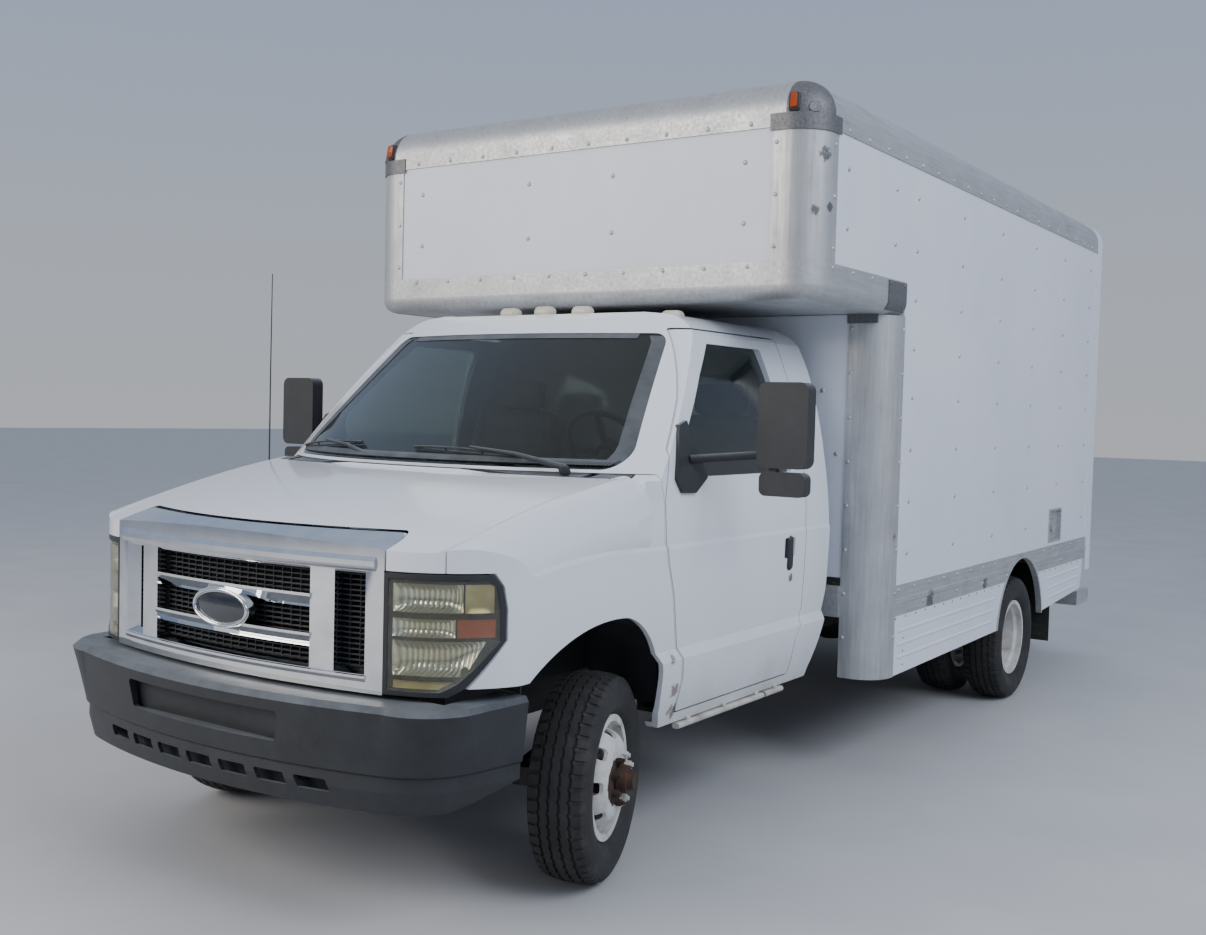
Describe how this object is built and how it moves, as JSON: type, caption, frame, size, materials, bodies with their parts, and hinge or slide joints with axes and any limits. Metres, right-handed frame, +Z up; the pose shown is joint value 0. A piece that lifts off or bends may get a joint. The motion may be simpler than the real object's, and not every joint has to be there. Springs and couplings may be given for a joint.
{
  "type": "box truck",
  "caption": "Cutaway-cab box truck with an over-cab attic, hollow cargo box, roll-up rear door, hinged doors and hood, steered front wheels and twin rear wheels.",
  "frame": {"origin": "bottom centre of the truck's bounding box, on the ground", "axes": "+X to the truck's left (driver's side), +Y to the rear, +Z up; the front wheels stand steered to the left"},
  "size_m": [2.8, 6.8198, 3.017],
  "materials": {
    "white_paint": "gloss white enamel",
    "white_panel": "white sheet panel, satin",
    "mill_aluminium": "mill finish, scuffed",
    "black_plastic": "moulded, grained",
    "chrome": "bright chrome plating",
    "lamp_clear": "clouded polycarbonate",
    "lamp_amber": "amber lens",
    "lamp_red": "red lens",
    "glass": "tinted safety glass",
    "frame_paint": "black chassis paint, dusty",
    "cast_iron": "rusty casting",
    "steel": "aluminised steel, dull",
    "tyre": "rubber, dusty",
    "wheel_paint": "white enamel on steel",
    "rubber": "black sheet rubber",
    "seat_vinyl": "grey vinyl",
    "cab_trim": "grey moulded trim",
    "wood_deck": "oiled hardwood boards"
  },
  "bodies": {
    "chassis": {"frame_rails": "frame_paint", "engine_block": "cast_iron", "front_axle": "frame_paint", "rear_axle": "frame_paint", "leaf_springs": "frame_paint", "exhaust": "steel", "fuel_tank": "black_plastic", "cab_shell": "white_paint", "cab_floor": "cab_trim", "fenders": "white_paint", "front_bumper": "black_plastic", "grille": "chrome", "headlamps": "black_plastic", "headlamp_lenses": "lamp_clear", "wheel_liners": "black_plastic", "corner_castings": "cast_iron", "windshield": "glass", "cowl_panel": "black_plastic", "seats": "seat_vinyl", "dashboard": "cab_trim", "steering_wheel": "black_plastic", "marker_lamps": "lamp_amber", "box_deck": "wood_deck", "box_bearers": "frame_paint", "box_side_walls": "white_panel", "box_front_walls": "white_panel", "attic_floor": "mill_aluminium", "attic_posts": "mill_aluminium", "front_columns": "mill_aluminium", "attic_rails": "mill_aluminium", "top_rails": "mill_aluminium", "box_roof": "white_panel", "rear_frame": "white_paint", "roll_up_door": "white_panel", "rub_rails": "mill_aluminium", "skirts": "white_panel", "rear_bumper": "mill_aluminium", "mud_flaps": "rubber", "rear_lamps": "lamp_red", "ramp": "mill_aluminium", "fuel_filler": "mill_aluminium"},
    "hood": {"hood": "white_paint"},
    "door_left": {"door_left": "white_paint", "door_glass_left": "glass", "mirror_left": "black_plastic"},
    "knuckle_left": {"knuckle_left": "cast_iron"},
    "wheel_front_left": {"tyre_front_left": "tyre", "rim_front_left": "wheel_paint"},
    "wheels_rear_left": {"tyres_rear_left": "tyre", "rims_rear_left": "wheel_paint"},
    "door_right": {"door_right": "white_paint", "door_glass_right": "glass", "mirror_right": "black_plastic"},
    "knuckle_right": {"knuckle_right": "cast_iron"},
    "wheel_front_right": {"tyre_front_right": "tyre", "rim_front_right": "wheel_paint"},
    "wheels_rear_right": {"tyres_rear_right": "tyre", "rims_rear_right": "wheel_paint"}
  },
  "joints": [
    {"name": "steer_left", "type": "hinge", "parent": "chassis", "child": "knuckle_left", "pos_m": [0.778, -2.435, 0.365], "axis": [0, 0, 1], "range_deg": [-49.5, 14.5]},
    {"name": "steer_right", "type": "hinge", "parent": "chassis", "child": "knuckle_right", "pos_m": [-0.778, -2.435, 0.365], "axis": [0, 0, 1], "range_deg": [-49.5, 14.5]},
    {"name": "spin_front_left", "type": "hinge", "parent": "knuckle_left", "child": "wheel_front_left", "pos_m": [0.778, -2.435, 0.365], "axis": [0.9537, 0.3007, 0], "continuous": true},
    {"name": "spin_rear_left", "type": "hinge", "parent": "chassis", "child": "wheels_rear_left", "pos_m": [0.937, 1.578, 0.365], "axis": [1, 0, 0], "continuous": true},
    {"name": "swing_door_left", "type": "hinge", "parent": "chassis", "child": "door_left", "pos_m": [1.014, -2.108, 1], "axis": [0, 0, -1], "range_deg": [0, 65]},
    {"name": "spin_front_right", "type": "hinge", "parent": "knuckle_right", "child": "wheel_front_right", "pos_m": [-0.778, -2.435, 0.365], "axis": [0.9537, 0.3007, 0], "continuous": true},
    {"name": "spin_rear_right", "type": "hinge", "parent": "chassis", "child": "wheels_rear_right", "pos_m": [-0.937, 1.578, 0.365], "axis": [1, 0, 0], "continuous": true},
    {"name": "swing_door_right", "type": "hinge", "parent": "chassis", "child": "door_right", "pos_m": [-1.014, -2.108, 1], "axis": [0, 0, 1], "range_deg": [0, 65]},
    {"name": "lift_hood", "type": "hinge", "parent": "chassis", "child": "hood", "pos_m": [0, -2.26, 1.4], "axis": [-1, 0, 0], "range_deg": [0, 50]}
  ],
  "couplings": [
    {"joint": "steer_right", "follows": "steer_left", "ratio": 1}
  ]
}
